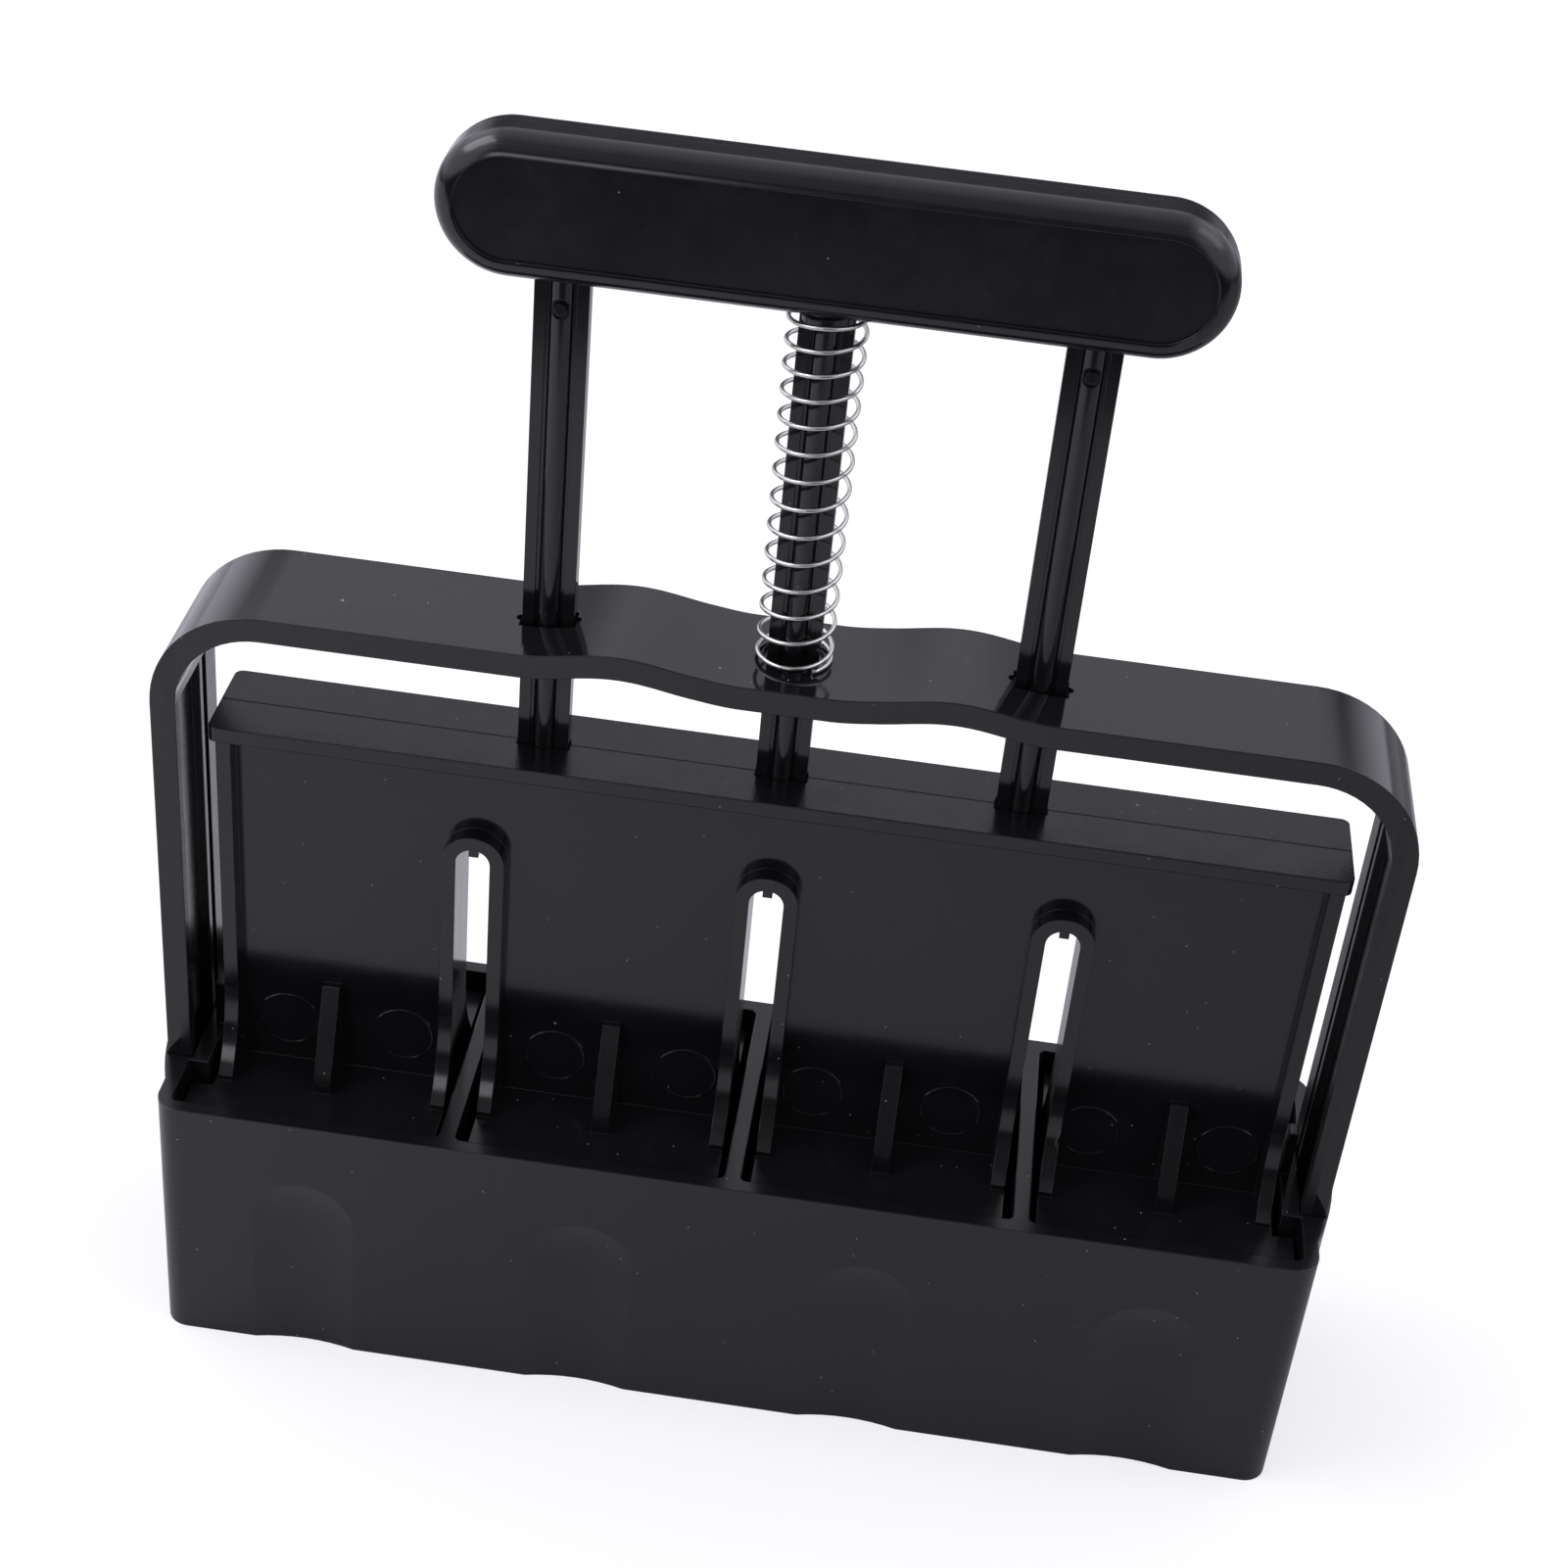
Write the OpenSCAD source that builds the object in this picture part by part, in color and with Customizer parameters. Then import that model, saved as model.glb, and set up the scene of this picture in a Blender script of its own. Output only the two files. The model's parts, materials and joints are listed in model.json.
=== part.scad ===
// Four-cell soil blocker: an open moulding box on legs, and a sprung
// plunger that presses and then pushes out the four blocks.
// X runs along the row of cells, Y from front to rear, Z up.
// The origin is under the middle of the box, on the surface it stands on.

/* [Box] */
// Inside width of one cell
cell_w = 50; // [44:0.5:60]
// Inside depth of one cell, front to rear
cell_d = 49; // [44:0.5:60]
// Height of the box
box_h = 55.5; // [50:0.5:70]
// Thickness of the outer walls
wall_t = 2.8; // [2.4:0.1:4]
// Thickness of the dividers between the cells
divider_t = 3; // [2:0.1:4]
// Radius of the upright outer corners
corner_r = 4.5; // [3:0.25:7]
// Radius of the upright corners inside each cell
cell_corner_r = 1.2; // [0.5:0.1:1.6]
// Width of a thumb scallop at the foot of the wall
scallop_w = 19.2; // [12:0.2:26]
// Height of a scallop's arched top above the ground
scallop_h = 41.2; // [28:0.2:44]
// Depth of a scallop at its middle
scallop_depth = 1.2; // [0.8:0.1:1.8]
// How far the frame's legs reach down into the ends of the box
socket_depth = 22; // [14:1:32]
// Thickness of the socket's inner wall
socket_inner_t = 3.3; // [2.4:0.1:3.6]
// Thickness of the socket's outer wall at its middle
socket_outer_t = 1.7; // [1.6:0.1:3]
// Thickness of the floor under a leg's foot
socket_floor_t = 3; // [2:0.5:5]
// Width of the latch finger that stands on the socket's inner wall
latch_w = 3; // [2:0.5:6]
// Thickness of the latch finger
latch_t = 1.7; // [1.2:0.1:2.2]
// Height of the latch finger above the rim
latch_h = 9.8; // [6:0.2:12]

/* [Frame] */
// Height of the top bar above the rim of the box
frame_rise = 98.3; // [92:0.1:120]
// Depth of the band, front to rear
frame_d = 24; // [20:0.2:28]
// Thickness of the band
frame_t = 4.45; // [3.6:0.05:5]
// Outer radius of the two upper corners
frame_r = 19.5; // [12:0.5:26]
// How far the legs stand out beyond the box's end walls
leg_out = 1.5; // [1.3:0.1:2]
// Height of the two finger humps on the bar
hump_h = 2; // [0.5:0.1:3]
// Distance of each hump's crest from the middle
hump_x = 28.5; // [26:0.5:32]
// Half width of a hump
hump_half = 17; // [13:0.5:18]
// Depth of the spring's seat below the bar's straight top
seat_dip = 0.5; // [0.2:0.1:1]
// Depth of the long grooves inside the legs
groove_depth = 1.7; // [0.6:0.1:1.8]

/* [Pusher] */
// How far the plates' tops lie below the rim at rest
plate_drop = 4.5; // [2:0.5:8]
// Thickness of the pressing plates
plate_t = 4; // [3:0.25:6]
// Running gap between a plate and the walls of its cell
plate_gap = 0.8; // [0.7:0.1:1.6]
// Height from the plates' tops to the roof's top
pusher_h = 78; // [74:0.5:88]
// Depth of the roof, front to rear
roof_d = 19.2; // [17:0.2:21]
// Thickness of the roof
roof_t = 2.8; // [2:0.1:4]
// How far the roof oversails the end ribs
roof_over = 0.45; // [0.2:0.05:1.6]
// Thickness of the web in each half
web_t = 3; // [2.9:0.1:4.2]
// Reach of the lips and end ribs, from the parting plane
lip_reach = 6.25; // [5.5:0.05:8]
// Width of the slots that clear the dividers
slot_w = 6.2; // [6:0.1:8]
// Width of the raised lip round a slot, and of the end ribs
lip_t = 2.6; // [2:0.05:3.2]
// Room above a divider in its slot at full stroke
slot_room = 6.4; // [4:0.1:11]
// Reach of the ribs' feet on the plates, from the parting plane
foot_reach = 12.2; // [11:0.1:16]
// Height over which the lips and ribs flare out to their feet
foot_h = 18; // [12:0.1:24]
// Height of the fin in the middle of each plate
fin_h = 19.5; // [12:0.5:26]
// Thickness of that fin
fin_t = 3.2; // [2:0.1:3.6]
// Running gap between the end ribs and the leg sockets
rib_gap = 1.6; // [1.2:0.1:3]

/* [Rods] */
// Width of a rod
rod_w = 8.9; // [7.5:0.1:9.5]
// Thickness of a rod's flat fins
rod_fin_t = 3; // [2.4:0.1:3.4]
// Thickness of the thin web beside the bead
rod_web_t = 2.2; // [1.6:0.1:2.4]
// Diameter of the bead that runs down the middle
bead_d = 4.4; // [3.6:0.1:4.6]
// Depth of a rod's foot below the roof's top
rod_foot = 11.4; // [9:0.2:12]
// Radial room round a rod where it slides through the bar
rod_room = 0.35; // [0.25:0.05:0.6]
// Diameter of the bar's round middle hole
middle_hole_d = 10.6; // [10.2:0.1:11]
// Diameter of the small cross pins under the grip
cross_pin_d = 2; // [1.4:0.1:2.4]
// Distance of the cross pins below the grip's underside
cross_pin_drop = 5.5; // [4:0.1:8]

/* [Spring] */
// Outer diameter of the coil
spring_od = 13.4; // [12.8:0.1:14]
// Diameter of the wire
wire_d = 0.8; // [0.6:0.05:0.9]
// Number of turns with the working pitch
active_turns = 13; // [8:0.1:14]
// Turns laid flat at the lower end
low_turns = 0.9; // [0.5:0.1:0.9]
// Turns laid flat at the upper end
high_turns = 0.6; // [0.5:0.1:0.9]
// Pitch of the flat turns
flat_pitch = 0.9; // [0.8:0.05:1.2]
// How far the middle turns ride above an even spacing
spring_ride = 1.9; // [0:0.1:2.4]
// Length of the spring at rest
spring_l = 64.6; // [60:0.1:80]

/* [Grip] */
// Height of the grip
grip_h = 24; // [22:0.2:28]
// How far the grip reaches beyond the outer rods' axes
grip_over = 20.2; // [16:0.1:26]
// Depth of each shell, from the parting plane
grip_half_d = 7.2; // [6.8:0.1:8]
// Corner radius of the front shell
front_r = 4; // [2.5:0.1:4.5]
// Corner radius of the rear shell
rear_r = 6.2; // [3:0.1:6.4]
// Height of the rim round the recessed front panel
rim_h = 3.3; // [2.6:0.1:5]
// Depth of the recessed front panel
panel_depth = 0.9; // [0.5:0.1:1.2]

/* [Fasteners and seed pins] */
// Diameter of the screws' shanks
screw_d = 2.6; // [2:0.1:2.8]
// Diameter of the screws' heads
screw_head_d = 5.2; // [4.4:0.1:5.8]
// Thickness of the screws' heads
screw_head_t = 1.6; // [1.2:0.1:1.8]
// Diameter of a seed pin where it meets the plate
seed_d = 9; // [7:0.5:14]
// Diameter of a seed pin's tip
seed_tip_d = 6; // [4:0.5:6.5]
// Length of a seed pin below the plate
seed_l = 8; // [5:0.5:12]
// Diameter of a seed pin's stem
seed_stem_d = 3.2; // [2.6:0.1:3.6]

/* [Hidden] */
$fn = 64;
CELLS = 4;
ROUND = 32;
EPS = 0.01;
WELD = 0.05;
CUT = 1;
FIT = 0.2;
SEAT = 0.05;
THREAD_ROOM = 0.05;
SIDE = [-1, 1];

// Box
cell_pitch = cell_w + divider_t;
box_w = CELLS * cell_w + (CELLS - 1) * divider_t + 2 * wall_t;
box_d = cell_d + 2 * wall_t;
cell_x = [for (i = [0:CELLS - 1]) (i - (CELLS - 1) / 2) * cell_pitch];
slot_x = [for (i = [1:CELLS - 1]) (i - CELLS / 2) * cell_pitch];

// Frame
bar_z = box_h + frame_rise;
seat_z = bar_z - seat_dip;
leg_x_out = box_w / 2 + leg_out;
leg_x_in = leg_x_out - frame_t;
foot_z = box_h - socket_depth;
pocket_half_d = frame_d / 2 + FIT;
BULGE_RUN = 7;
bulge_half = frame_d / 2 + BULGE_RUN;
bulge_out = leg_out + FIT + socket_outer_t;
bulge_r = (bulge_half * bulge_half + bulge_out * bulge_out) / (2 * bulge_out);
// Two long grooves in a leg's inner face, as shares of the band's depth
GROOVES = [[-0.385, 0.10], [0.167, 0.258]];
GROOVE_SINK = 6;
SEAT_HALF = 7.6;
DIP_RUN = 4;
WAVE_END = 46;
WAVE_STEPS = 46;
SOCKET_SIDE = 0.8;
socket_x_in = leg_x_in - FIT - socket_inner_t;
socket_half_d = pocket_half_d + SOCKET_SIDE;

// Pusher
plate_z = box_h - plate_drop;
plate_bottom = plate_z - plate_t;
GROUND_GAP = 1;
stroke = plate_bottom - GROUND_GAP;
roof_z = plate_z + pusher_h;
rib_x_out = socket_x_in - rib_gap;
roof_half_w = rib_x_out + roof_over;
lip_r = slot_w / 2 + lip_t;
slot_top = box_h + stroke + slot_room;
slot_centre_z = slot_top - slot_w / 2;
NOTCH_GAP = 1;
ROOF_CORNER_R = 1.5;
FOOT_EDGE_H = 1;
flare_out = foot_reach - lip_reach;
flare_up = foot_h - FOOT_EDGE_H;
flare_r = (flare_up * flare_up + flare_out * flare_out) / (2 * flare_out);
FIN_TOE_H = 1.5;
FIN_TOP_OUT = 1.3;
SLOT_RIB_W = 1.75;
SLOT_RIB_H = 1.9;
SLOT_RIB_OVER = 0.6;
WEB_POCKET_DEPTH = 1.8;
WEB_POCKET_EDGE = 6;
WEB_POCKET_SIDE = 2;

// Rods
ROD_SIDE_GAP = 0.8;
rod_x = cell_pitch - lip_r - ROD_SIDE_GAP - rod_w / 2;
rod_foot_z = roof_z - rod_foot;
FLUTE_W = 0.25;
fin_x = bead_d / 2 + FLUTE_W;
POCKET_ROOM = 0.15;
EYE_RISE = 3.6;
eye_z = rod_foot_z + EYE_RISE;
peg_d = 2.4;
PEG_END_WALL = 0.8;
NOTCH_R = 0.8;

// Grip
grip_bottom = seat_z + 2 * SEAT + spring_l;
grip_z = grip_bottom + grip_h / 2;
grip_half_l = rod_x + grip_over;
end_x = grip_half_l - grip_h / 2;
panel_r = grip_h / 2 - rim_h;
ROD_TOP_RISE = 5;
rod_top_z = grip_z + ROD_TOP_RISE;
cross_pin_z = grip_bottom - cross_pin_drop;
PIN_PROUD = 0.25;
COLLAR_UP = 4;
COLLAR_DOWN = 2;
SPOT_OVER = 0.7;
SPOT_DEPTH = 0.5;
GRIP_POCKET_DEPTH = 3.6;
GRIP_POCKET_R = 7.4;
GRIP_POCKET_WALL = 3;

// Spring
RINGS = 8;
WIRE_SIDES = 6;
spring_r = (spring_od - wire_d) / 2;
spring_turns = low_turns + active_turns + high_turns;
spring_rings = round(spring_turns * RINGS);
working_pitch = (spring_l - wire_d - flat_pitch * (low_turns + high_turns)) / active_turns;
RIDE_POWER = 1.7;
START_ANGLE = -54;

// Screws
GRIP_SCREW_X = [-rod_x, 0, rod_x];
END_SCREW_INSET = 8.4;
pusher_screw_x = [-rib_x_out + END_SCREW_INSET, -cell_pitch / 2, cell_pitch / 2,
                  rib_x_out - END_SCREW_INSET];
SCREW_DROP = 7.4;
pusher_screw_z = roof_z - roof_t - SCREW_DROP;
SCREW_END_WALL = 1.1;
HEAD_ROOM = 0.25;
cap_t = screw_head_t + FIT;
DRIVE_W = 0.8;
DRIVE_L = 2.9;
DRIVE_DEPTH = 0.9;

// Seed pins
STEM_UP = 5;
STEM_HEAD_T = 1.6;
STEM_HEAD_D = 4.8;

BLACK = [0.05, 0.05, 0.055];
SATIN = [0.09, 0.09, 0.1];
STEEL = [0.75, 0.76, 0.78];

// ---- shared shapes ----

// A rectangle with round corners, about the origin
module round_rect(w, d, r) {
    square([w - 2 * r, d], center = true);
    square([w, d - 2 * r], center = true);
    for (sx = SIDE, sy = SIDE)
        translate([sx * (w / 2 - r), sy * (d / 2 - r)]) circle(r);
}

// A box given by its low and high corners
module block(low, high) {
    translate(low) cube(high - low);
}

// A profile drawn in X and Z, made solid from y0 to y1
module upright(y0, y1) {
    translate([0, y1, 0]) rotate([90, 0, 0]) linear_extrude(y1 - y0) children();
}

// A cylinder along Y from y0 to y1
module bar_y(x, z, r, y0, y1) {
    translate([x, y0, z]) rotate([-90, 0, 0]) cylinder(r = r, h = y1 - y0, $fn = ROUND);
}

// ---- box ----

// A shallow upright scoop with an arched top, centred on x = 0, in the front wall
module scallop() {
    half = scallop_w / 2;
    r = (half * half + scallop_depth * scallop_depth) / (2 * scallop_depth);
    centre_y = -box_d / 2 - r + scallop_depth;
    top_z = scallop_h - half;
    translate([0, centre_y, -CUT]) cylinder(r = r, h = top_z + CUT, $fn = 160);
    translate([0, centre_y, top_z]) sphere(r = r, $fn = 160);
}

module scallops() {
    for (x = cell_x, turn = [0, 180])
        rotate([0, 0, turn]) translate([x, 0, 0]) scallop();
}

// The outward swelling of both end walls round the leg sockets
module end_bulges() {
    linear_extrude(box_h) intersection() {
        square([box_w + 4 * bulge_out, 2 * (bulge_half + CUT)], center = true);
        for (s = SIDE)
            translate([s * (box_w / 2 + bulge_out - bulge_r), 0]) intersection() {
                circle(bulge_r, $fn = 160);
                translate([s * bulge_r, 0]) square(2 * bulge_r, center = true);
            }
    }
}

// The socket's inner wall, with its floor and the latch finger
module socket_block() {
    block([socket_x_in, -socket_half_d, foot_z - socket_floor_t],
          [box_w / 2 - EPS, socket_half_d, box_h]);
    block([socket_x_in - EPS, -latch_w / 2, box_h - EPS],
          [socket_x_in + latch_t, latch_w / 2, box_h + latch_h]);
}

module leg_pocket() {
    block([leg_x_in - FIT, -pocket_half_d, foot_z],
          [leg_x_out + FIT, pocket_half_d, box_h + CUT]);
}

module base_box() {
    color(BLACK) difference() {
        union() {
            difference() {
                union() {
                    linear_extrude(box_h) round_rect(box_w, box_d, corner_r);
                    end_bulges();
                }
                for (x = cell_x)
                    translate([x, 0, -CUT])
                        linear_extrude(box_h + 2 * CUT) round_rect(cell_w, cell_d, cell_corner_r);
            }
            for (turn = [0, 180]) rotate([0, 0, turn]) socket_block();
        }
        for (turn = [0, 180]) rotate([0, 0, turn]) leg_pocket();
        scallops();
    }
}

// ---- frame ----

// Height of the bar's top over its straight line: two humps and a seat
function hump(x) =
    let (u = (abs(x) - hump_x) / hump_half)
    abs(u) < 1 ? hump_h * pow(cos(90 * u), 2) : 0;
function dip(x) =
    let (u = (abs(x) - SEAT_HALF) / (hump_x - hump_half - SEAT_HALF + DIP_RUN))
    u <= 0 ? -seat_dip : u < 1 ? -seat_dip * pow(cos(90 * u), 2) : 0;
function bar_wave(x) = hump(x) + dip(x);

bar_half = leg_x_out - frame_r;
wave_x = [for (i = [-WAVE_STEPS:WAVE_STEPS]) WAVE_END * i / WAVE_STEPS];
last_wave = 2 * WAVE_STEPS;

module bar_profile() {
    end = bar_half + WELD;
    polygon(concat(
        [[-end, bar_z]],
        [for (x = wave_x) [x, bar_z + bar_wave(x)]],
        [[end, bar_z], [end, bar_z - frame_t]],
        [for (i = [0:last_wave])
            [wave_x[last_wave - i], bar_z - frame_t + bar_wave(wave_x[last_wave - i])]],
        [[-end, bar_z - frame_t]]));
}

// The right-hand upper corner and leg
module corner_profile() {
    translate([bar_half, bar_z - frame_r]) intersection() {
        difference() {
            circle(frame_r, $fn = 96);
            circle(frame_r - frame_t, $fn = 96);
        }
        square(frame_r + CUT);
    }
}

module leg_profile() {
    translate([leg_x_in, foot_z]) square([frame_t, bar_z - frame_r - foot_z + WELD]);
}

module leg_grooves() {
    for (s = SIDE, g = GROOVES)
        translate([s * leg_x_in, 0, 0])
            block([-groove_depth, g[0] * frame_d, box_h - GROOVE_SINK],
                  [groove_depth, g[1] * frame_d, bar_z - frame_r]);
}

// The hole in the bar for an outer rod: a slot with a small round notch at each end
module rod_slot() {
    linear_extrude(bar_z + hump_h + CUT) {
        square([rod_w + 2 * rod_room, bead_d + 2 * rod_room], center = true);
        for (s = SIDE) translate([s * (rod_w / 2 + rod_room), 0]) circle(NOTCH_R, $fn = ROUND);
    }
}

module frame() {
    color(SATIN) difference() {
        union() {
            upright(-frame_d / 2, frame_d / 2) bar_profile();
            for (turn = [0, 180]) rotate([0, 0, turn]) {
                upright(-frame_d / 2, frame_d / 2) corner_profile();
                upright(-frame_d / 2, frame_d / 2) leg_profile();
            }
        }
        leg_grooves();
        for (s = SIDE) translate([s * rod_x, 0, 0]) rod_slot();
        cylinder(d = middle_hole_d, h = bar_z + hump_h + CUT);
    }
}

// ---- pusher ----

// The outline of one slot, or of its lip, open towards the plates
module slot_shape(half, bottom) {
    translate([0, slot_centre_z]) circle(half, $fn = 48);
    translate([-half, bottom]) square([2 * half, slot_centre_z - bottom]);
}

// A rib that stands on the plates, from the parting plane to the lip's face, with its
// foot flared forward in a hollow arc
module flared_rib(x0, x1, top) {
    block([x0, -lip_reach, plate_z - EPS], [x1, 0, top]);
    difference() {
        block([x0, -foot_reach, plate_z - EPS], [x1, -lip_reach + EPS, plate_z + foot_h]);
        translate([x0 - CUT, -lip_reach - flare_r, plate_z + foot_h])
            rotate([0, 90, 0]) cylinder(r = flare_r, h = x1 - x0 + 2 * CUT, $fn = 160);
    }
}

// The raised lip round a slot
module lip() {
    upright(-lip_reach, -EPS) slot_shape(lip_r, plate_z);
    for (s = SIDE)
        translate([s * (lip_r - lip_t / 2), 0, 0])
            flared_rib(-lip_t / 2, lip_t / 2, slot_centre_z);
}

// The half plate in one cell, ahead of the parting plane
module half_plate(x) {
    block([x - cell_w / 2 + plate_gap, -cell_d / 2 + plate_gap, plate_bottom],
          [x + cell_w / 2 - plate_gap, 0, plate_z]);
}

// The fin that props a plate, with its sloping front
module fin(x) {
    translate([x - fin_t / 2, 0, 0]) rotate([90, 0, 90]) linear_extrude(fin_t)
        polygon([[-web_t + EPS, plate_z - EPS], [-foot_reach, plate_z - EPS],
                 [-foot_reach, plate_z + FIN_TOE_H], [-web_t - FIN_TOP_OUT, plate_z + fin_h],
                 [-web_t + EPS, plate_z + fin_h]]);
}

// The rod's own section, grown by some room
module rod_section(room = 0) {
    square([rod_w + 2 * room, rod_web_t + 2 * room], center = true);
    for (s = SIDE)
        translate([s * (rod_w / 2 + fin_x) / 2, 0])
            square([rod_w / 2 - fin_x + 2 * room, rod_fin_t + 2 * room], center = true);
    circle(bead_d / 2 + room, $fn = ROUND);
}

// What a pusher half is cut by, apart from its screw holes
module pusher_cuts() {
    for (x = slot_x) translate([x, 0, 0])
        upright(-cell_d / 2, CUT) slot_shape(slot_w / 2, plate_bottom - CUT);
    for (s = SIDE)
        block([s > 0 ? socket_x_in - NOTCH_GAP : -box_w / 2, -socket_half_d - NOTCH_GAP,
               plate_bottom - CUT],
              [s > 0 ? box_w / 2 : -socket_x_in + NOTCH_GAP, CUT, plate_z + CUT]);
    for (x = [-rod_x, 0, rod_x]) translate([x, 0, rod_foot_z - POCKET_ROOM])
        linear_extrude(rod_foot + CUT) rod_section(POCKET_ROOM);
    for (x = cell_x) translate([x, 0, plate_bottom - CUT]) {
        cylinder(d = seed_stem_d + FIT, h = CUT + plate_t + STEM_UP + SEAT, $fn = ROUND);
        translate([0, 0, CUT + plate_t + STEM_UP - STEM_HEAD_T - SEAT])
            cylinder(d = STEM_HEAD_D + FIT, h = STEM_HEAD_T + 2 * SEAT + FIT, $fn = ROUND);
    }
}

// The rib along the arch of a slot, where the two halves are trimmed to meet
module slot_rib(x) {
    block([x - SLOT_RIB_W / 2, -lip_reach + SLOT_RIB_OVER, slot_top - SLOT_RIB_H],
          [x + SLOT_RIB_W / 2, 0, slot_top + SLOT_RIB_OVER]);
}

// Small pockets behind the web, one per cell, that keep its wall even
module web_pockets() {
    for (i = [0:CELLS - 1], s = SIDE)
        let (x0 = i == 0 ? -rib_x_out + lip_t : slot_x[i - 1] + lip_r,
             x1 = i == CELLS - 1 ? rib_x_out - lip_t : slot_x[i] - lip_r,
             mid = cell_x[i])
            block([s < 0 ? x0 + WEB_POCKET_SIDE : mid + WEB_POCKET_EDGE, -WEB_POCKET_DEPTH,
                   plate_z + WEB_POCKET_EDGE],
                  [s < 0 ? mid - WEB_POCKET_EDGE : x1 - WEB_POCKET_SIDE, CUT,
                   rod_foot_z - WEB_POCKET_EDGE]);
}

// One half of the pusher, ahead of the parting plane
module pusher_half() {
    difference() {
        union() {
            block([-rib_x_out, -web_t, plate_z - EPS], [rib_x_out, 0, roof_z - EPS]);
            intersection() {
                translate([0, 0, roof_z - roof_t]) linear_extrude(roof_t)
                    round_rect(2 * roof_half_w, roof_d, ROOF_CORNER_R);
                block([-roof_half_w, -roof_d, 0], [roof_half_w, 0, roof_z]);
            }
            for (x = cell_x) {
                half_plate(x);
                fin(x);
            }
            for (x = slot_x) translate([x, 0, 0]) lip();
            flared_rib(-rib_x_out, -rib_x_out + lip_t, roof_z - EPS);
            flared_rib(rib_x_out - lip_t, rib_x_out, roof_z - EPS);
        }
        pusher_cuts();
        web_pockets();
    }
    for (x = slot_x) slot_rib(x);
}

module pusher_front() {
    color(BLACK) difference() {
        pusher_half();
        for (x = [-rod_x, 0, rod_x])
            bar_y(x, eye_z, peg_d / 2 + FIT, -web_t + PEG_END_WALL, CUT);
        for (x = pusher_screw_x)
            bar_y(x, pusher_screw_z, screw_d / 2 + THREAD_ROOM, -web_t + SCREW_END_WALL, CUT);
    }
}

module pusher_rear() {
    color(BLACK) {
        difference() {
            mirror([0, 1, 0]) pusher_half();
            for (x = pusher_screw_x) {
                bar_y(x, pusher_screw_z, screw_d / 2 + FIT, -CUT, web_t + CUT);
                bar_y(x, pusher_screw_z, screw_head_d / 2 + HEAD_ROOM, web_t - cap_t, web_t + CUT);
            }
        }
        for (x = [-rod_x, 0, rod_x])
            bar_y(x, eye_z, peg_d / 2, -web_t + PEG_END_WALL + FIT,
                  bead_d / 2 + POCKET_ROOM + EPS);
    }
}

// ---- rods ----

module rod(x) {
    translate([x, 0, 0]) difference() {
        translate([0, 0, rod_foot_z]) linear_extrude(rod_top_z - rod_foot_z) rod_section();
        bar_y(0, eye_z, peg_d / 2 + FIT, -rod_w, rod_w);
        bar_y(0, grip_z, screw_d / 2 + FIT, -rod_w, rod_w);
        if (x != 0) {
            bar_y(0, cross_pin_z, cross_pin_d / 2 + THREAD_ROOM, -rod_w, rod_w);
            for (s = SIDE)
                bar_y(0, cross_pin_z, cross_pin_d / 2 + SPOT_OVER, s * bead_d / 2 - SPOT_DEPTH,
                      s * bead_d / 2 + SPOT_DEPTH);
        }
    }
}

module rod_left() {
    color(SATIN) rod(-rod_x);
}

// The middle rod has a round collar that centres the spring under the grip
module rod_middle() {
    color(SATIN) {
        rod(0);
        translate([0, 0, grip_bottom - COLLAR_DOWN])
            cylinder(d = rod_w, h = COLLAR_UP + COLLAR_DOWN, $fn = 48);
    }
}

module rod_right() {
    color(SATIN) rod(rod_x);
}

module cross_pin(x) {
    color(SATIN) bar_y(x, cross_pin_z, cross_pin_d / 2, -bead_d / 2 - PIN_PROUD,
                       bead_d / 2 + PIN_PROUD);
}

module cross_pin_left() {
    cross_pin(-rod_x);
}

module cross_pin_right() {
    cross_pin(rod_x);
}

// ---- spring ----

// Height of the wire's axis after t turns
function spring_z(t) =
    let (active = min(max(t - low_turns, 0), active_turns))
    seat_z + SEAT + wire_d / 2
    + flat_pitch * min(t, low_turns)
    + working_pitch * active
    + spring_ride * sin(180 * pow(active / active_turns, RIDE_POWER))
    + flat_pitch * max(t - low_turns - active_turns, 0);
function spring_turn(i) = i * spring_turns / (spring_rings - 1);
function spring_angle(t) = START_ANGLE + 360 * t;
function spring_point(i) =
    let (t = spring_turn(i), a = spring_angle(t))
    [spring_r * cos(a), spring_r * sin(a), spring_z(t)];

// The wire's axis, with a straight end one wire diameter long at each end
function along(p, a, len) = p + len * [-sin(a), cos(a), 0];
spring_path = concat(
    [along(spring_point(0), spring_angle(0), -wire_d)],
    [for (i = [0:spring_rings - 1]) spring_point(i)],
    [along(spring_point(spring_rings - 1), spring_angle(spring_turns), wire_d)]);
path_last = len(spring_path) - 1;

// A ring of points round the wire's axis at path point i
function unit(v) = v / norm(v);
function path_dir(i) = unit(spring_path[min(i + 1, path_last)] - spring_path[max(i - 1, 0)]);
function wire_ring(i) =
    let (d = path_dir(i),
         out = unit(cross(d, cross([spring_path[i][0], spring_path[i][1], 0], d))),
         up = cross(d, out))
    [for (k = [0:WIRE_SIDES - 1])
        spring_path[i] + wire_d / 2 * (cos(360 * k / WIRE_SIDES) * out
                                       + sin(360 * k / WIRE_SIDES) * up)];

module spring() {
    rings = [for (i = [0:path_last]) each wire_ring(i)];
    sides = [for (i = [0:path_last - 1], k = [0:WIRE_SIDES - 1])
        let (a = i * WIRE_SIDES + k,
             b = i * WIRE_SIDES + (k + 1) % WIRE_SIDES,
             c = b + WIRE_SIDES,
             d = a + WIRE_SIDES)
        each [[a, c, b], [a, d, c]]];
    first_cap = [for (k = [1:WIRE_SIDES - 2]) [0, k, k + 1]];
    end = path_last * WIRE_SIDES;
    last_cap = [for (k = [1:WIRE_SIDES - 2]) [end, end + k + 1, end + k]];
    color(STEEL) polyhedron(rings, concat(sides, first_cap, last_cap), convexity = 20);
}

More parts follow.
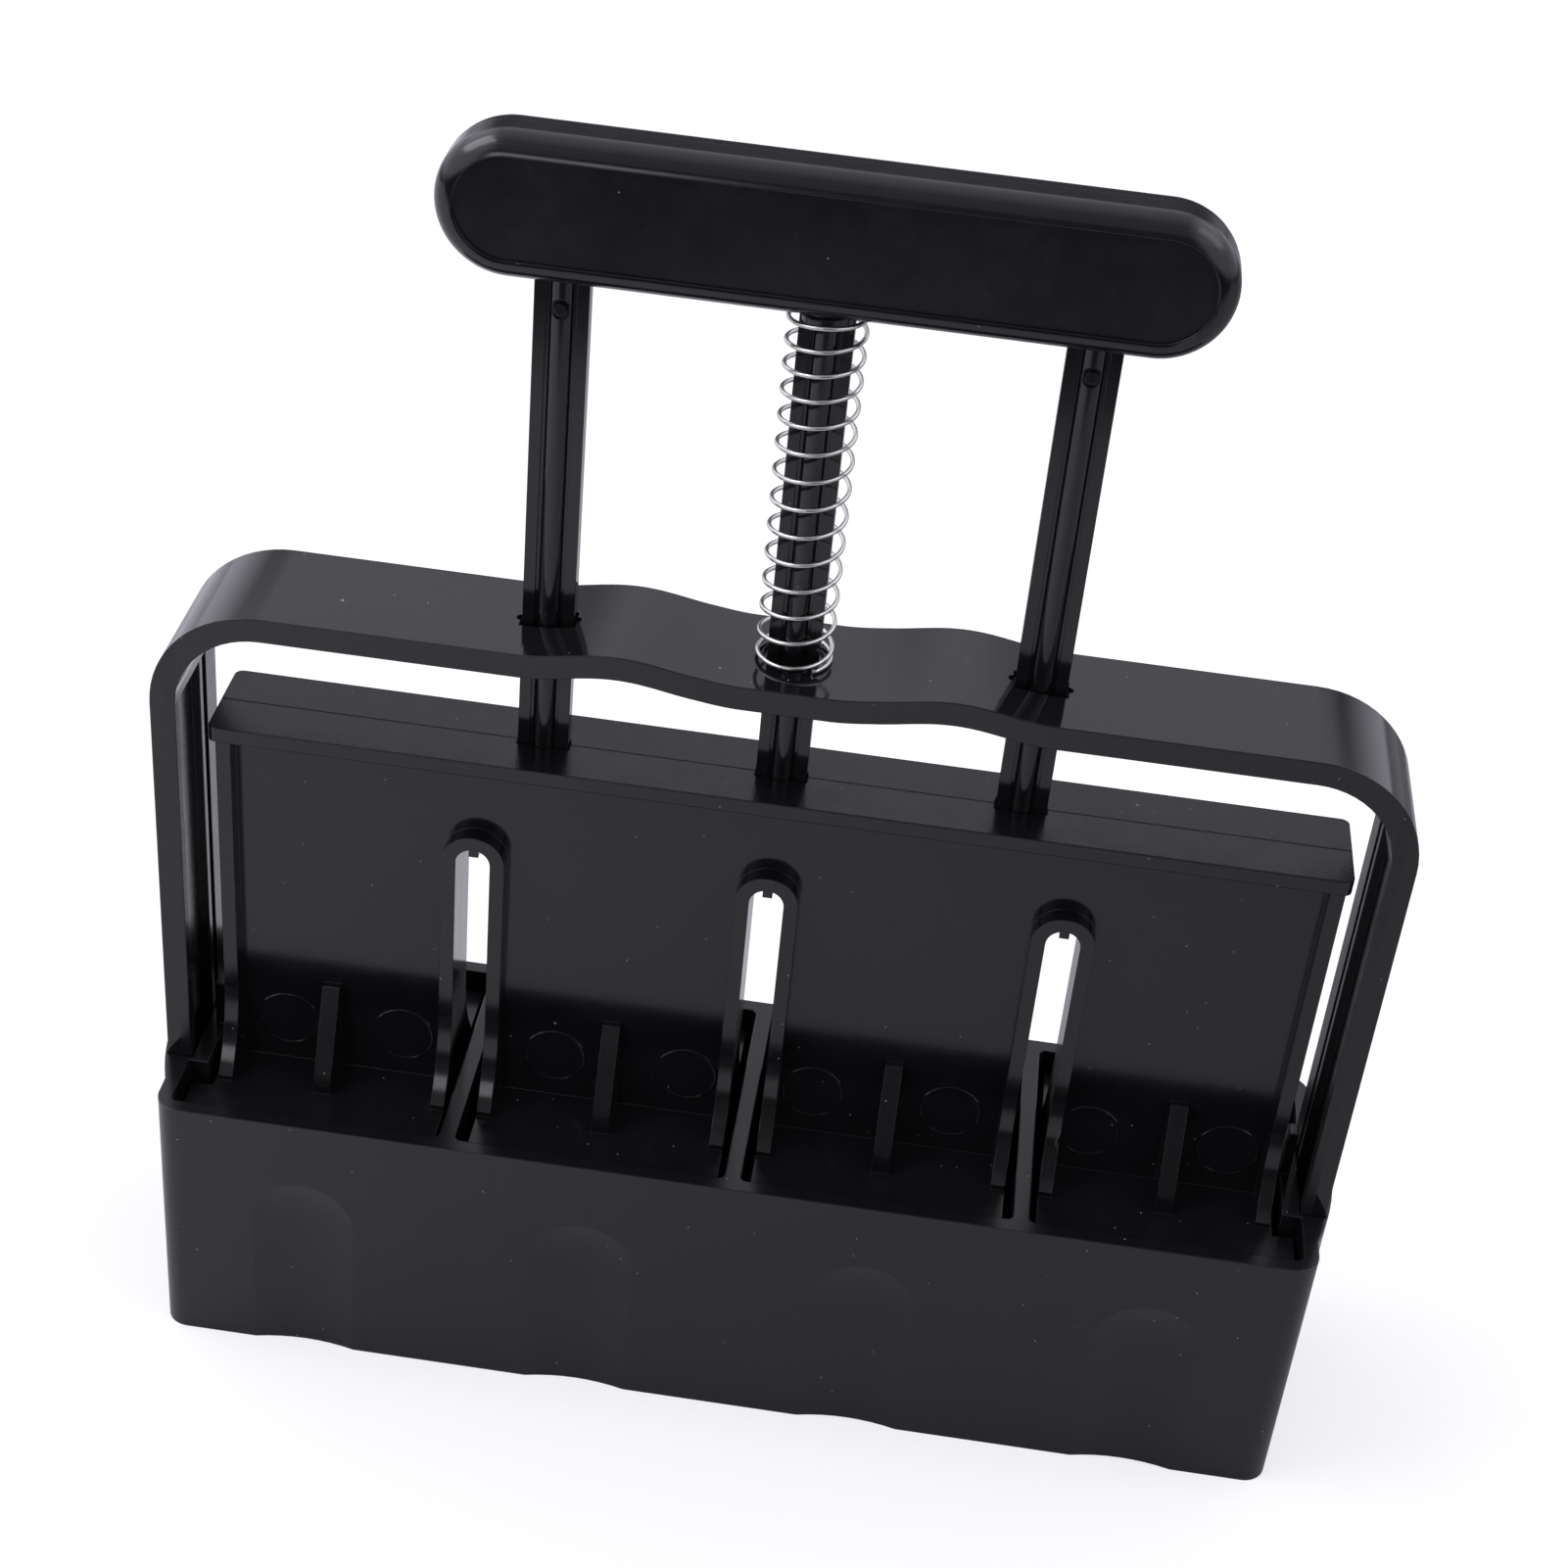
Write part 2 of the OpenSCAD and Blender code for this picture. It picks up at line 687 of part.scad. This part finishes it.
// The least gap between turns, measured between axis points half a turn or more apart
spring_gap = min([for (i = [0:path_last], j = [i + RINGS / 2:1:min(path_last, i + 2 * RINGS)])
    norm(spring_path[i] - spring_path[j])]) - wire_d;
echo(spring_least_gap = spring_gap, spring_turns = spring_turns, stroke = stroke);

// ---- grip ----

// Half of a shell's section: distance from its long axis against depth, with the parting
// plane at depth 0 and one rounded corner of radius r
module shell_half_section(r) {
    square([grip_h / 2, grip_half_d - r]);
    square([grip_h / 2 - r, grip_half_d]);
    translate([grip_h / 2 - r, grip_half_d - r]) intersection() {
        circle(r, $fn = 96);
        square(r);
    }
}

// A shell on the rear side of the parting plane: a straight middle and half-round ends
module shell(r) {
    difference() {
        translate([0, 0, grip_z]) {
            rotate([0, 90, 0]) translate([0, 0, -end_x]) linear_extrude(2 * end_x) {
                shell_half_section(r);
                mirror([1, 0]) shell_half_section(r);
            }
            for (s = SIDE) translate([s * end_x, 0, 0])
                rotate([-90, 0, 0]) rotate_extrude($fn = 128) shell_half_section(r);
        }
        grip_cuts();
    }
}

// A stadium in X and Z about the grip's centre, made solid along Y
module stadium(r, y0, y1) {
    upright(y0, y1) translate([0, grip_z]) {
        square([2 * end_x, 2 * r], center = true);
        for (s = SIDE) translate([s * end_x, 0]) circle(r, $fn = 96);
    }
}

// Sockets for the rods' tops, the spring's seat and hollows between the rods
module grip_cuts() {
    for (x = [-rod_x, 0, rod_x]) translate([x, 0, grip_bottom - CUT])
        linear_extrude(rod_top_z - grip_bottom + CUT + POCKET_ROOM) rod_section(POCKET_ROOM);
    translate([0, 0, grip_bottom - CUT])
        cylinder(d = rod_w + 2 * POCKET_ROOM, h = CUT + COLLAR_UP + POCKET_ROOM, $fn = 48);
    for (s = SIDE)
        block([s > 0 ? rod_w / 2 + GRIP_POCKET_WALL : -rod_x + rod_w / 2 + GRIP_POCKET_WALL,
               -GRIP_POCKET_DEPTH, grip_z - GRIP_POCKET_R],
              [s > 0 ? rod_x - rod_w / 2 - GRIP_POCKET_WALL : -rod_w / 2 - GRIP_POCKET_WALL,
               GRIP_POCKET_DEPTH, grip_z + GRIP_POCKET_R]);
}

module grip_front() {
    color(SATIN) difference() {
        mirror([0, 1, 0]) shell(front_r);
        stadium(panel_r, -grip_half_d - CUT, -grip_half_d + panel_depth);
        for (x = GRIP_SCREW_X)
            bar_y(x, grip_z, screw_d / 2 + THREAD_ROOM,
                  -grip_half_d + panel_depth + SCREW_END_WALL, CUT);
    }
}

module grip_rear() {
    color(SATIN) difference() {
        shell(rear_r);
        for (x = GRIP_SCREW_X) {
            bar_y(x, grip_z, screw_d / 2 + FIT, -CUT, grip_half_d + CUT);
            bar_y(x, grip_z, screw_head_d / 2 + HEAD_ROOM, grip_half_d - cap_t,
                  grip_half_d + CUT);
        }
    }
}

// ---- fasteners and seed pins ----

// A screw along Y, its head towards +Y with its seat at head_y and its tip at tip_y
module screw(x, z, tip_y, head_y) {
    difference() {
        union() {
            bar_y(x, z, screw_d / 2, tip_y, head_y + EPS);
            bar_y(x, z, screw_head_d / 2, head_y + SEAT, head_y + screw_head_t);
            bar_y(x, z, screw_d / 2, head_y, head_y + SEAT + EPS);
        }
        for (turn = [0, 90])
            translate([x, head_y + screw_head_t, z]) rotate([0, turn, 0])
                cube([DRIVE_L, 2 * DRIVE_DEPTH, DRIVE_W], center = true);
    }
}

module grip_screws() {
    color(STEEL) for (x = GRIP_SCREW_X)
        screw(x, grip_z, -grip_half_d + panel_depth + SCREW_END_WALL + SEAT,
              grip_half_d - cap_t);
}

module pusher_screws() {
    color(STEEL) for (x = pusher_screw_x)
        screw(x, pusher_screw_z, -web_t + SCREW_END_WALL + SEAT, web_t - cap_t);
}

// A tapered seed pin: its stem and round head are held between the pusher halves
module seed_pin(i) {
    color(BLACK) translate([cell_x[i], 0, plate_bottom]) {
        translate([0, 0, -SEAT - seed_l])
            cylinder(d1 = seed_tip_d, d2 = seed_d, h = seed_l, $fn = 48);
        translate([0, 0, -SEAT - EPS])
            cylinder(d = seed_stem_d, h = plate_t + STEM_UP, $fn = ROUND);
        translate([0, 0, plate_t + STEM_UP - STEM_HEAD_T])
            cylinder(d = STEM_HEAD_D, h = STEM_HEAD_T, $fn = ROUND);
    }
}

module seed_pin_1() {
    seed_pin(0);
}

module seed_pin_2() {
    seed_pin(1);
}

module seed_pin_3() {
    seed_pin(2);
}

module seed_pin_4() {
    seed_pin(3);
}

base_box();
frame();
pusher_front();
pusher_rear();
rod_left();
rod_middle();
rod_right();
cross_pin_left();
cross_pin_right();
spring();
grip_front();
grip_rear();
grip_screws();
pusher_screws();
seed_pin_1();
seed_pin_2();
seed_pin_3();
seed_pin_4();
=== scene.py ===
"""A four-cell soil blocker in black moulded plastic, with a stainless spring, in a plain pale studio."""
import json
import math

import bmesh
import bpy
from mathutils import Matrix, Vector


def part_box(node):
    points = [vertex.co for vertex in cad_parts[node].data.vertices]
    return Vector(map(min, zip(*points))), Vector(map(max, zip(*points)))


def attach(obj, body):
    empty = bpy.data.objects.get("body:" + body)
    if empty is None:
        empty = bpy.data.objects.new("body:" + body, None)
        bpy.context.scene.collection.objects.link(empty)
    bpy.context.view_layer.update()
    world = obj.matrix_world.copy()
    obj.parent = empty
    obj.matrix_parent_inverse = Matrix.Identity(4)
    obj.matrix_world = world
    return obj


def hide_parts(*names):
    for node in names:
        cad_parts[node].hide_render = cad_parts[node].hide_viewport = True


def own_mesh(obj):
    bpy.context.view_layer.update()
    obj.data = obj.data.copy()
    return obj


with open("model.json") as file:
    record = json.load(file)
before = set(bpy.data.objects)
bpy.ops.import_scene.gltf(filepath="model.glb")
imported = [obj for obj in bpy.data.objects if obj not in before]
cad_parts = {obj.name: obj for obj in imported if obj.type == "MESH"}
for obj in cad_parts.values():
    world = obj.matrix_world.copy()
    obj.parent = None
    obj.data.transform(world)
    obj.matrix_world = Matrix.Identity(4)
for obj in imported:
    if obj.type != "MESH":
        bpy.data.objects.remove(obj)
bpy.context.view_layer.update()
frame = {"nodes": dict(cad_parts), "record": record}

MM = 0.001
nodes = frame["nodes"]
scene = bpy.context.scene


# ---------------------------------------------------------------- camera

CAMERA_AT = Vector((23.25, -397.96, 400.59)) * MM
CAMERA_AIM = Vector((0.59, 0.0, 126.94)) * MM
CAMERA_ROLL = 0.1029
SENSOR_MM = 36.0
LENS_MM = 63.43


def add_camera():
    data = bpy.data.cameras.new("camera")
    data.sensor_width = SENSOR_MM
    data.lens = LENS_MM
    data.clip_start = 0.02
    data.clip_end = 30
    camera = bpy.data.objects.new("camera", data)
    scene.collection.objects.link(camera)
    back = (CAMERA_AT - CAMERA_AIM).normalized()
    right = Vector((0, 0, 1)).cross(back).normalized()
    up = back.cross(right)
    c, s = math.cos(CAMERA_ROLL), math.sin(CAMERA_ROLL)
    rolled_right = c * right + s * up
    rolled_up = c * up - s * right
    turn = Matrix((rolled_right, rolled_up, back)).transposed()
    camera.matrix_world = Matrix.Translation(CAMERA_AT) @ turn.to_4x4()
    scene.camera = camera


# ---------------------------------------------------------------- small node helpers

class Tree:
    """A thin wrapper that adds and links shader nodes in one call."""

    def __init__(self, tree):
        self.tree = tree
        tree.nodes.clear()

    def add(self, kind, values=(), **settings):
        node = self.tree.nodes.new(kind)
        for name, value in settings.items():
            setattr(node, name, value)
        for socket, value in dict(values).items():
            target = node.inputs[socket]
            if isinstance(value, bpy.types.NodeSocket):
                self.tree.links.new(value, target)
            else:
                target.default_value = value
        return node

    def link(self, a, b):
        self.tree.links.new(a, b)


def noise(t, place, size_mm, detail=3.0, rough=0.5):
    """A noise value whose features are about size_mm across."""
    return t.add("ShaderNodeTexNoise", {"Vector": place, "Scale": 1 / (size_mm * MM), "Detail": detail,
                                        "Roughness": rough}).outputs["Fac"]


def remap(t, value, low, high, to_low, to_high):
    return t.add("ShaderNodeMapRange", {"Value": value, "From Min": low, "From Max": high,
                                        "To Min": to_low, "To Max": to_high}).outputs["Result"]


def math_node(t, operation, a, b=0.0):
    return t.add("ShaderNodeMath", {0: a, 1: b}, operation=operation).outputs[0]


def dust_mask(t, place, spacing_mm, share, radius):
    """1 on small scattered specks: about one in a cell of spacing_mm, for that share of the cells."""
    cells = t.add("ShaderNodeTexVoronoi", {"Vector": place, "Scale": 1 / (spacing_mm * MM), "Randomness": 1.0})
    chosen = math_node(t, "GREATER_THAN", t.add("ShaderNodeSeparateColor", {
        "Color": cells.outputs["Color"]}).outputs["Red"], 1 - share)
    near = math_node(t, "LESS_THAN", cells.outputs["Distance"], radius)
    return math_node(t, "MULTIPLY", chosen, near)


# ---------------------------------------------------------------- materials

BLACK = (0.0052, 0.0054, 0.0062)
BLACK_SPREAD = (0.8, 1.25)
PLASTIC_IOR = 1.5
EDGE_SAMPLES = 6
WAVE_MM = 14.0
SMEAR_MM = 3.5
DUST = (0.23, 0.22, 0.21, 1)
DUST_ROUGHNESS = 0.8
DUST_HEIGHT_MM = 0.005
SMALL_SPECKS = (3.0, 0.5, 0.047)    # spacing in millimetres, share of the cells, radius in cells
BIG_SPECKS = (11.0, 0.4, 0.028)
RING_CORE_MM = 0.08
RING_EDGE_MM = 0.34
STEEL_SPREAD = (0.82, 1.08)
STEEL_PATCH_MM = 5.0
STREAK_HEIGHT_MM = 0.004


def band(t, value_mm, low, high):
    """1 where a coordinate lies between low and high."""
    above = math_node(t, "GREATER_THAN", value_mm, low)
    return math_node(t, "MULTIPLY", above, math_node(t, "LESS_THAN", value_mm, high))


def ring(t, x_mm, z_mm, centre, radius):
    """1 on a thin circle in X and Z, with soft edges."""
    dx = math_node(t, "SUBTRACT", x_mm, centre[0])
    dz = math_node(t, "SUBTRACT", z_mm, centre[1])
    squared = math_node(t, "ADD", math_node(t, "MULTIPLY", dx, dx), math_node(t, "MULTIPLY", dz, dz))
    away = math_node(t, "SQRT", squared)
    off = math_node(t, "ABSOLUTE", math_node(t, "SUBTRACT", away, radius))
    return remap(t, off, RING_CORE_MM, RING_EDGE_MM, 1.0, 0.0)


def plastic(name, roughness, edge_mm, grain_mm=0.35, grain_depth_mm=0.002, dust=0.5, zones=(), marks=(),
            wide_edge=None):
    """Black moulded plastic: rounded edges, a fine skin, slow variation in gloss, and dust specks.

    A zone (axis, low, high, roughness, grain depth) has a skin of its own between two places on an axis.
    A mark ((x, z), radius, height) is the round line that an ejector pin leaves.
    wide_edge (axis, low, high, radius) is where the edges are rounder than elsewhere.
    Lengths are in millimetres, and dust is the amount of specks."""
    material = bpy.data.materials.new(name)
    material.use_nodes = True
    t = Tree(material.node_tree)
    place = t.add("ShaderNodeTexCoord").outputs["Object"]
    millimetres = t.add("ShaderNodeVectorMath", {0: place, "Scale": 1 / MM}, operation="SCALE").outputs[0]
    parts = t.add("ShaderNodeSeparateXYZ", {"Vector": millimetres}).outputs
    slow = noise(t, place, WAVE_MM, 2.0)
    fine = noise(t, place, grain_mm, 2.0, 0.6)
    smear = noise(t, place, SMEAR_MM, 4.0, 0.65)
    small, big = (dust_mask(t, place, spacing_mm, share * dust, radius)
                  for spacing_mm, share, radius in (SMALL_SPECKS, BIG_SPECKS))
    mask = math_node(t, "MAXIMUM", small, big)

    dark, light = (tuple(part * v for v in BLACK) + (1,) for part in BLACK_SPREAD)
    body = t.add("ShaderNodeMix", {"Factor": slow, 6: dark, 7: light}, data_type="RGBA").outputs[2]
    dusty = t.add("ShaderNodeMix", {"Factor": mask, 6: body, 7: DUST}, data_type="RGBA").outputs[2]

    spread = math_node(t, "ADD", remap(t, slow, 0.3, 0.7, -0.1, 0.1), remap(t, smear, 0.35, 0.75, 0.92, 1.12))
    gloss = math_node(t, "MULTIPLY", spread, roughness)
    depth = math_node(t, "MULTIPLY", fine, grain_depth_mm)
    for axis, low, high, zone_roughness, zone_depth in zones:
        here = band(t, parts[axis], low, high)
        gloss = t.add("ShaderNodeMix", {"Factor": here, 2: gloss, 3: math_node(
            t, "MULTIPLY", spread, zone_roughness)}, data_type="FLOAT").outputs[0]
        depth = t.add("ShaderNodeMix", {"Factor": here, 2: depth, 3: math_node(
            t, "MULTIPLY", fine, zone_depth)}, data_type="FLOAT").outputs[0]
    for centre, radius, mark_height in marks:
        mark = ring(t, parts["X"], parts["Z"], centre, radius)
        depth = math_node(t, "ADD", depth, math_node(t, "MULTIPLY", mark, mark_height))
    rough = math_node(t, "MAXIMUM", gloss, math_node(t, "MULTIPLY", mask, DUST_ROUGHNESS))

    height = math_node(t, "ADD", depth, math_node(t, "MULTIPLY", mask, DUST_HEIGHT_MM))
    edges = t.add("ShaderNodeBevel", {"Radius": edge_mm * MM}, samples=EDGE_SAMPLES)
    if wide_edge:
        axis, low, high, wide_mm = wide_edge
        here = band(t, parts[axis], low, high)
        t.link(remap(t, here, 0.0, 1.0, edge_mm * MM, wide_mm * MM), edges.inputs["Radius"])
    bump = t.add("ShaderNodeBump", {"Height": height, "Strength": 1.0, "Distance": MM,
                                    "Normal": edges.outputs["Normal"]})
    surface = t.add("ShaderNodeBsdfPrincipled", {
        "Base Color": dusty, "Roughness": rough, "Normal": bump.outputs["Normal"],
        "IOR": PLASTIC_IOR})
    output = t.add("ShaderNodeOutputMaterial")
    t.link(surface.outputs["BSDF"], output.inputs["Surface"])
    return material


def steel(name, tone, roughness, streak_mm):
    """Drawn or turned steel, with fine streaks and faint handling marks."""
    material = bpy.data.materials.new(name)
    material.use_nodes = True
    t = Tree(material.node_tree)
    place = t.add("ShaderNodeTexCoord").outputs["Object"]
    streaks = noise(t, place, streak_mm, 3.0, 0.6)
    patches = noise(t, place, STEEL_PATCH_MM, 2.0)
    dark, light = (tuple(min(1, part * v) for v in tone) + (1,) for part in STEEL_SPREAD)
    body = t.add("ShaderNodeMix", {"Factor": patches, 6: dark, 7: light}, data_type="RGBA").outputs[2]
    rough = remap(t, streaks, 0.3, 0.7, roughness - 0.05, roughness + 0.08)
    bump = t.add("ShaderNodeBump", {"Height": streaks, "Strength": 1.0, "Distance": STREAK_HEIGHT_MM * MM})
    surface = t.add("ShaderNodeBsdfPrincipled", {
        "Base Color": body, "Roughness": rough, "Normal": bump.outputs["Normal"], "Metallic": 1.0})
    output = t.add("ShaderNodeOutputMaterial")
    t.link(surface.outputs["BSDF"], output.inputs["Surface"])
    return material


LOW_MARKS_X = (-88, -66, -37, -12, 12, 38, 64, 90)
HIGH_MARKS_X = (-88, 88)
EJECTOR_MARKS = [((x, 60.3), 5.7, 0.12) for x in LOW_MARKS_X] + [((x, 119), 4.5, 0.04) for x in HIGH_MARKS_X]
ROOF_SKIN = ("Z", 126.1, 130.0, 0.25, 0.035)
ROOF_EDGE = ("Z", 126.0, 130.0, 0.45)
PLATE_SKIN = ("Z", 46.0, 51.1, 0.22, 0.006)
LEG_SKINS = (("X", 104.2, 106.2, 0.4, 0.003), ("X", -106.2, -104.2, 0.25, 0.002))
PANEL_SKIN = ("Y", -6.36, -6.24, 0.26, 0.004)


def make_materials():
    return {
        "box_plastic": plastic("box_plastic", 0.2, 0.4, dust=0.8),
        "frame_plastic": plastic("frame_plastic", 0.09, 0.35, dust=0.5, zones=LEG_SKINS),
        "pusher_plastic": plastic("pusher_plastic", 0.13, 0.2, grain_mm=0.6, grain_depth_mm=0.003, dust=1.0,
                                  zones=(ROOF_SKIN, PLATE_SKIN), marks=EJECTOR_MARKS, wide_edge=ROOF_EDGE),
        "rod_plastic": plastic("rod_plastic", 0.12, 0.2, dust=0.3),
        "grip_plastic": plastic("grip_plastic", 0.15, 0.35, dust=0.5, zones=(PANEL_SKIN,)),
        "spring_steel": steel("spring_steel", (0.62, 0.61, 0.58), 0.2, 0.6),
        "screw_steel": steel("screw_steel", (0.5, 0.5, 0.51), 0.3, 0.5),
    }


# ---------------------------------------------------------------- parts carried over from the frame

def dress_nodes(materials):
    slots = {s["node"]: s["material_slot"] for s in frame["record"]["subparts"]}
    for name, obj in nodes.items():
        obj.data.materials.clear()
        obj.data.materials.append(materials[slots[name]])


# ---------------------------------------------------------------- spring

WIRE_D = 0.8 * MM
SPRING_FLAT_PITCH = 0.9 * MM
SPRING_LOW_TURNS = 0.9
SPRING_ACTIVE_TURNS = 13.0
SPRING_HIGH_TURNS = 0.6
SPRING_RIDE = 1.9 * MM
RIDE_POWER = 1.7
START_ANGLE = math.radians(-54)
LOOPS_PER_TURN = 40
WIRE_SIDES = 12


def spring_height(turn, low_z, length):
    """Height of the wire's axis after that many turns."""
    active = min(max(turn - SPRING_LOW_TURNS, 0), SPRING_ACTIVE_TURNS)
    flat = min(turn, SPRING_LOW_TURNS) + max(turn - SPRING_LOW_TURNS - SPRING_ACTIVE_TURNS, 0)
    pitch = (length - WIRE_D - SPRING_FLAT_PITCH * (SPRING_LOW_TURNS + SPRING_HIGH_TURNS)) / SPRING_ACTIVE_TURNS
    ride = SPRING_RIDE * math.sin(math.pi * (active / SPRING_ACTIVE_TURNS) ** RIDE_POWER)
    return low_z + WIRE_D / 2 + SPRING_FLAT_PITCH * flat + pitch * active + ride


def add_spring(material):
    low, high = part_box("spring")
    radius = (high[0] - low[0] - WIRE_D) / 2
    length = high[2] - low[2]
    turns = SPRING_LOW_TURNS + SPRING_ACTIVE_TURNS + SPRING_HIGH_TURNS
    count = round(turns * LOOPS_PER_TURN)
    path = []
    for i in range(count + 1):
        turn = turns * i / count
        angle = START_ANGLE + 2 * math.pi * turn
        path.append(Vector((radius * math.cos(angle), radius * math.sin(angle),
                            spring_height(turn, low[2], length))))
    mesh = bmesh.new()
    loops = []
    for i, point in enumerate(path):
        along = (path[min(i + 1, count)] - path[max(i - 1, 0)]).normalized()
        out = Vector((point.x, point.y, 0)).normalized()
        out = (out - along * out.dot(along)).normalized()
        side = along.cross(out)
        loop = []
        for k in range(WIRE_SIDES):
            turn = 2 * math.pi * k / WIRE_SIDES
            loop.append(mesh.verts.new(point + WIRE_D / 2 * (math.cos(turn) * out + math.sin(turn) * side)))
        loops.append(loop)
    for a, b in zip(loops, loops[1:]):
        for k in range(WIRE_SIDES):
            j = (k + 1) % WIRE_SIDES
            mesh.faces.new((a[k], a[j], b[j], b[k])).smooth = True
    mesh.faces.new(reversed(loops[0]))
    mesh.faces.new(loops[-1])
    bmesh.ops.recalc_face_normals(mesh, faces=mesh.faces)
    data = bpy.data.meshes.new("spring_wire")
    mesh.to_mesh(data)
    mesh.free()
    spring = bpy.data.objects.new("spring_wire", data)
    scene.collection.objects.link(spring)
    data.materials.append(material)
    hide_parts("spring")
    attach(spring, "box")
    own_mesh(spring)


# ---------------------------------------------------------------- studio

FLOOR_FRONT = -0.42
FLOOR_REAR = 2.2
FLOOR_HALF_W = 1.6
FLOOR_DROP = 0.02 * MM
# The paper seen in reflections carries painted shade. It is lighter on the left and darker to the right in
# place of light falling off across it, so that the faces darken to the right as in the photograph. Behind the
# tool it darkens sooner and further to the right, a painted shadow of the tool:
# low and high X in metres, then the tones there, before the tool and behind it.
PAINTED_SHADE_BEFORE = (-0.2, 0.2, 0.68, 0.42)
PAINTED_SHADOW_BEHIND = (-0.04, 0.06, 0.72, 0.3)
BEHIND_FROM, BEHIND_TO = 0.0, 0.08
# What the camera sees of the floor comes out white, except in the tool's soft shadow.
SEEN_FLOOR = (0.4, 0.4, 0.4, 1)
FLOOR_GLOW = 0.62


def add_floor():
    data = bpy.data.meshes.new("floor")
    corners = [(-FLOOR_HALF_W, FLOOR_FRONT), (FLOOR_HALF_W, FLOOR_FRONT),
               (FLOOR_HALF_W, FLOOR_REAR), (-FLOOR_HALF_W, FLOOR_REAR)]
    data.from_pydata([(x, y, -FLOOR_DROP) for x, y in corners], [], [(0, 1, 2, 3)])
    floor = bpy.data.objects.new("floor", data)
    scene.collection.objects.link(floor)
    material = bpy.data.materials.new("floor")
    material.use_nodes = True
    t = Tree(material.node_tree)
    rays = t.add("ShaderNodeLightPath")
    spot = t.add("ShaderNodeSeparateXYZ", {"Vector": t.add("ShaderNodeTexCoord").outputs["Object"]}).outputs
    # Painted shade: the tone that mirrored rays see darkens to the right, and behind the tool it darkens sooner
    # as a painted shadow of the tool.
    before = remap(t, spot["X"], *PAINTED_SHADE_BEFORE)
    behind = remap(t, spot["X"], *PAINTED_SHADOW_BEHIND)
    share = remap(t, spot["Y"], BEHIND_FROM, BEHIND_TO, 0.0, 1.0)
    tone = t.add("ShaderNodeMix", {"Factor": share, 2: before, 3: behind}, data_type="FLOAT").outputs[0]
    painted_shade_paper = t.add("ShaderNodeBsdfDiffuse", {"Color": t.add("ShaderNodeCombineColor", {
        "Red": tone, "Green": tone, "Blue": tone}).outputs[0]})
    seen = t.add("ShaderNodeBsdfDiffuse", {"Color": SEEN_FLOOR})
    glow = t.add("ShaderNodeEmission", {"Color": (1, 1, 1, 1), "Strength": FLOOR_GLOW})
    lit = t.add("ShaderNodeAddShader", {0: seen.outputs[0], 1: glow.outputs[0]})
    mixed = t.add("ShaderNodeMixShader", {"Fac": rays.outputs["Is Camera Ray"], 1: painted_shade_paper.outputs[0],
                                          2: lit.outputs[0]})
    output = t.add("ShaderNodeOutputMaterial")
    t.link(mixed.outputs[0], output.inputs["Surface"])
    data.materials.append(material)


ROOM_TINT = (0.95, 0.945, 1.06, 1)
# Each row: the span of the direction's component, then the strengths at its two ends.
WALL_BY_Z = (-0.06, 0.06, 0.05, 0.13)
CEILING_BY_Z = (0.39, 0.51, 0.0, 0.75)
CEILING_BY_Y = (-0.45, 0.15, 0.35, 1.0)
SCREENS_BY_X = (0.33, 0.55, 0.0, 1.0)
SCREENS_BY_Z = (-0.12, -0.02, 0.0, 1.0)
ROOM_BY_X = (-1.0, 1.0, 1.15, 0.85)


def add_world():
    """A pale room: dim walls, a ceiling that is brightest to the rear, and a soft screen on each side."""
    world = bpy.data.worlds.new("studio")
    scene.world = world
    world.use_nodes = True
    t = Tree(world.node_tree)
    rays = t.add("ShaderNodeLightPath")
    way = t.add("ShaderNodeTexCoord").outputs["Generated"]
    parts = t.add("ShaderNodeSeparateXYZ", {"Vector": way}).outputs
    wall = remap(t, parts["Z"], *WALL_BY_Z)
    ceiling = math_node(t, "MULTIPLY", remap(t, parts["Z"], *CEILING_BY_Z), remap(t, parts["Y"], *CEILING_BY_Y))
    wide = math_node(t, "ABSOLUTE", parts["X"])
    screens = math_node(t, "MULTIPLY", remap(t, wide, *SCREENS_BY_X), remap(t, parts["Z"], *SCREENS_BY_Z))
    whole = math_node(t, "ADD", wall, math_node(t, "ADD", ceiling, screens))
    strength = math_node(t, "MULTIPLY", whole, remap(t, parts["X"], *ROOM_BY_X))
    room = t.add("ShaderNodeBackground", {"Color": ROOM_TINT, "Strength": strength})
    white = t.add("ShaderNodeBackground", {"Color": (1, 1, 1, 1), "Strength": 1.0})
    mixed = t.add("ShaderNodeMixShader", {"Fac": rays.outputs["Is Camera Ray"], 1: room.outputs[0],
                                          2: white.outputs[0]})
    output = t.add("ShaderNodeOutputWorld")
    t.link(mixed.outputs[0], output.inputs["Surface"])


LAMP_TINT = (0.95, 0.95, 1.0)
LAMPS = [
    # name, place, aim, width and height, watts
    ("soft_left", (-1.1, -0.2, 1.3), (0, 0, 0.1), (0.9, 0.9), 8.0),
    ("soft_right", (1.2, -0.1, 1.3), (0, 0, 0.1), (0.8, 0.8), 2.0),
    ("low_left", (-0.42, -1.5, 0.52), (-0.05, 0, 0.08), (0.45, 0.3), 1.2),
]


def add_lamps():
    for name, place, aim, size, watts in LAMPS:
        data = bpy.data.lights.new(name, "AREA")
        data.shape = "RECTANGLE"
        data.size, data.size_y = size
        data.energy = watts
        data.color = LAMP_TINT
        lamp = bpy.data.objects.new(name, data)
        scene.collection.objects.link(lamp)
        lamp.location = place
        lamp.rotation_mode = "QUATERNION"
        lamp.rotation_quaternion = (Vector(aim) - Vector(place)).to_track_quat("-Z", "Y")


# ---------------------------------------------------------------- build

add_camera()
finishes = make_materials()
dress_nodes(finishes)
add_spring(finishes["spring_steel"])
add_world()
add_floor()
add_lamps()
scene.view_settings.view_transform = "Standard"

bpy.context.view_layer.update()
